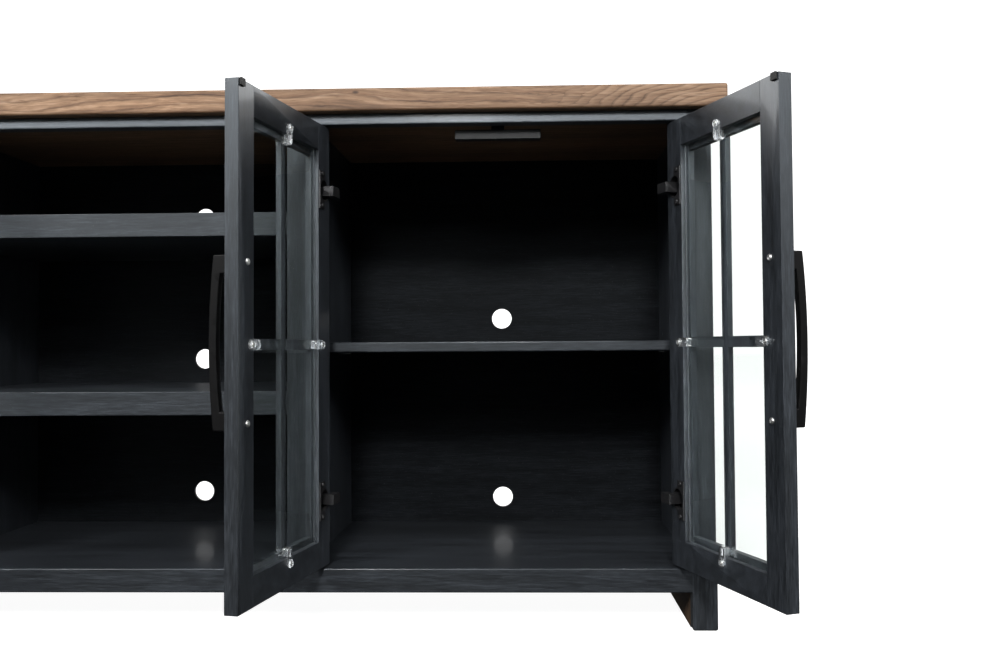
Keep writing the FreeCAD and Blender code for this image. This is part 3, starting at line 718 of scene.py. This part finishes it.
def make_clips(door):
    """Moulded clips: a round-ended tab, a raised collar about the screw, a rib and a foot on the glass."""
    mesh = bmesh.new()
    screws = [(low + high) / 2 for low, high in solids(f"{door}_small_screws", door)]
    for low, high in solids(f"{door}_glass_clips", door):
        middle = (low + high) / 2
        screw = min(screws, key=lambda spot: (spot.x - middle.x) ** 2 + (spot.z - middle.z) ** 2)
        back = high.y - CLIP_TAB
        add_prism(mesh, rounded((low.x, low.z), (high.x, high.z), CLIP_CORNER), back, high.y)
        out = Vector((screw.x - middle.x, 0, screw.z - middle.z)).normalized()
        side = Vector((-out.z, 0, out.x))
        reach = 0.5 * max(high.x - low.x, high.z - low.z)
        across = 0.5 * min(high.x - low.x, high.z - low.z)
        foot_ends = [middle - out * (reach - FOOT_MARGIN) + side * (across - FOOT_MARGIN),
                     middle - out * FOOT_START - side * (across - FOOT_MARGIN)]
        add_prism(mesh, pad_outline(foot_ends, FOOT_CORNER), low.y, back - CLIP_GAP)
        rib_ends = [middle - out * (reach - RIB_MARGIN) + side * RIB_HALF_WIDTH,
                    middle - out * RIB_START - side * RIB_HALF_WIDTH]
        add_prism(mesh, pad_outline(rib_ends, RIB_CORNER), high.y + CLIP_GAP, high.y + RIB_HEIGHT)
        seat = Vector((screw.x, high.y + CLIP_GAP, screw.z))
        add_turned(mesh, facing(seat, BACKWARDS), COLLAR, COLLAR_SIDES)
    bmesh.ops.remove_doubles(mesh, verts=mesh.verts, dist=COLLAR_WELD)
    mesh.transform(opened(door))
    add_piece(mesh, f"{door}_clips_moulded", clip_plastic, "clear_plastic", door, f"{door}_glass_clips",
              edge=CLIP_EDGE)


for door in DOORS:
    make_screws(door, "small_screws", SMALL_HEAD, SMALL_SHANK)
    make_screws(door, "handle_screws", HANDLE_HEAD, HANDLE_SHANK)
    make_clips(door)


# ---------------------------------------------------------------- screws through the hinge plates
PLATE_THICKNESS = 0.004
PLATE_SCREW_SPREAD = 0.0175
PLATE_SCREW_RADIUS = 0.0040
PLATE_SCREW_HEAD = 0.0018
BAY_WALLS = [side * wall for side in (-1, 1)
             for wall in (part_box("right_side")[0].x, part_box("right_divider")[1].x)]


def make_plate_screws():
    """Two screws through each hinge plate into the wall of the bay."""
    mesh = bmesh.new()
    for low, high in solids("hinge_plates"):
        middle = (low + high) / 2
        low_gap, high_gap = (min(abs(face - wall) for wall in BAY_WALLS) for face in (low.x, high.x))
        inward = 1 if low_gap < high_gap else -1
        face = low.x if inward > 0 else high.x
        for step in (-1, 1):
            seat = Vector((face + inward * PLATE_THICKNESS, middle.y, middle.z + step * PLATE_SCREW_SPREAD))
            add_screw(mesh, facing(seat, (inward, 0, 0)), PLATE_SCREW_RADIUS, PLATE_SCREW_HEAD, SMALL_SHANK,
                      PLATE_THICKNESS)
    add_piece(mesh, "hinge_plate_screws", screw_steel, "screw_steel", "case")


make_plate_screws()


# ---------------------------------------------------------------- floor, light and camera
FLOOR_HALF = 40
FLOOR_FADE = (1.5, 9.0)
FLOOR_GLOW = (0.95, 1.3)


def make_floor():
    """Pale matt floor that fades to white with distance; it lights nothing and isn't in reflections."""
    look = Look("pale_floor")
    look.feed("Base Color", look.ramp(look.noise(look.coords, 0.8, 2.0, 0.5), [(0.3, 0.40), (0.7, 0.44)]))
    distance = look.vector("DISTANCE", look.coords, (0.0, 0.0, 0.0))
    look.feed("Emission Strength", look.spread(look.window(distance, *FLOOR_FADE), *FLOOR_GLOW))
    look.set(roughness=0.9, specular_ior_level=0.2, emission_color=(1, 1, 1, 1))
    mesh = bmesh.new()
    bmesh.ops.create_grid(mesh, x_segments=1, y_segments=1, size=FLOOR_HALF)
    data = bpy.data.meshes.new("floor")
    mesh.to_mesh(data)
    mesh.free()
    floor = bpy.data.objects.new("floor", data)
    scene.collection.objects.link(floor)
    floor.data.materials.append(look.material)
    floor.visible_diffuse = False
    floor.visible_glossy = False


SEEN_WHITE = 1.55
FRONT_LIGHT = 0.04
BACK_LIGHT = 0.75
BACK_EDGE = (0.15, 0.75)    # how far a ray points backwards where the back light starts and is full
HORIZON_BLUR = 0.02


def make_world():
    """White to look at, also through glass. As a light it is dim in front and bright behind the cabinet."""
    world = bpy.data.worlds.new("studio")
    world.use_nodes = True
    sky = Graph(world.node_tree)
    out = sky.add("ShaderNodeOutputWorld")
    light = sky.add("ShaderNodeBackground")
    path = sky.add("ShaderNodeLightPath")
    way = sky.split(sky.add("ShaderNodeTexCoord").outputs["Generated"])
    above = sky.rescale(way["Z"], source=(-HORIZON_BLUR, HORIZON_BLUR))
    behind = sky.rescale(sky.math("MULTIPLY", way["Y"], above), source=BACK_EDGE,
                         target=(FRONT_LIGHT, BACK_LIGHT), smooth=True)
    seen = sky.math("MAXIMUM", path.outputs["Is Camera Ray"], path.outputs["Is Transmission Ray"])
    strength = sky.math("MAXIMUM", behind, sky.math("MULTIPLY", seen, SEEN_WHITE))
    sky.fill(light, color=(1, 1, 1, 1), strength=strength)
    sky.join(light.outputs["Background"], out.inputs["Surface"])
    scene.world = world


def make_light(name, place, target, width, power, tint=(1, 1, 1)):
    """A round softbox, its power in watts."""
    data = bpy.data.lights.new(name, "AREA")
    data.shape = "DISK"
    data.size = width
    data.energy = power
    data.color = tint
    lamp = bpy.data.objects.new(name, data)
    lamp.location = place
    lamp.rotation_euler = (Vector(target) - Vector(place)).to_track_quat("-Z", "Y").to_euler()
    scene.collection.objects.link(lamp)


CAMERA_PLACE = Vector((0.6487, -1.4432, 0.4230))
CAMERA_YAW = math.radians(-1.585)
CAMERA_PITCH = math.radians(1.634)
CAMERA_ROLL = math.radians(-0.385)
CAMERA_LENS = 33.134
CAMERA_SHIFT = (-0.0008, -0.0133)


def make_camera():
    data = bpy.data.cameras.new("camera")
    data.sensor_width = 36.0
    data.lens = CAMERA_LENS
    data.shift_x, data.shift_y = CAMERA_SHIFT
    data.clip_start = 0.05
    camera = bpy.data.objects.new("camera", data)
    ahead = Vector((
        math.sin(CAMERA_YAW) * math.cos(CAMERA_PITCH),
        math.cos(CAMERA_YAW) * math.cos(CAMERA_PITCH),
        math.sin(CAMERA_PITCH),
    ))
    right = Vector((math.cos(CAMERA_YAW), -math.sin(CAMERA_YAW), 0))
    above = right.cross(ahead)
    rolled_right = right * math.cos(CAMERA_ROLL) + above * math.sin(CAMERA_ROLL)
    rolled_above = above * math.cos(CAMERA_ROLL) - right * math.sin(CAMERA_ROLL)
    turn = Matrix((rolled_right, rolled_above, -ahead)).transposed()
    camera.matrix_world = Matrix.Translation(CAMERA_PLACE) @ turn.to_4x4()
    scene.collection.objects.link(camera)
    scene.camera = camera


make_floor()
make_world()
make_light("key", (0.6, -6.4, 4.1), (0.6, 0, 0.45), width=1.1, power=330, tint=(1.0, 0.99, 0.98))
make_light("fill", (0.2, -4.2, 2.3), (0.5, 0, 0.5), width=1.0, power=22)
make_light("overhead", (0.45, -1.5, 3.1), (0.45, -0.2, 0.4), width=0.45, power=42)
make_light("left_box", (-3.0, -4.0, 3.1), (0.4, -0.2, 0.55), width=1.7, power=215)
make_light("right_box", (4.7, -3.8, 3.0), (0.9, -0.2, 0.55), width=1.7, power=172)
make_light("back_left", (-5.0, 4.0, 3.2), (0, 0, 0.4), width=3.6, power=190)
make_light("back_right", (5.5, 4.5, 3.0), (0, 0, 0.4), width=3.6, power=190)
make_camera()
scene.view_settings.view_transform = "Standard"
scene.view_settings.look = "None"
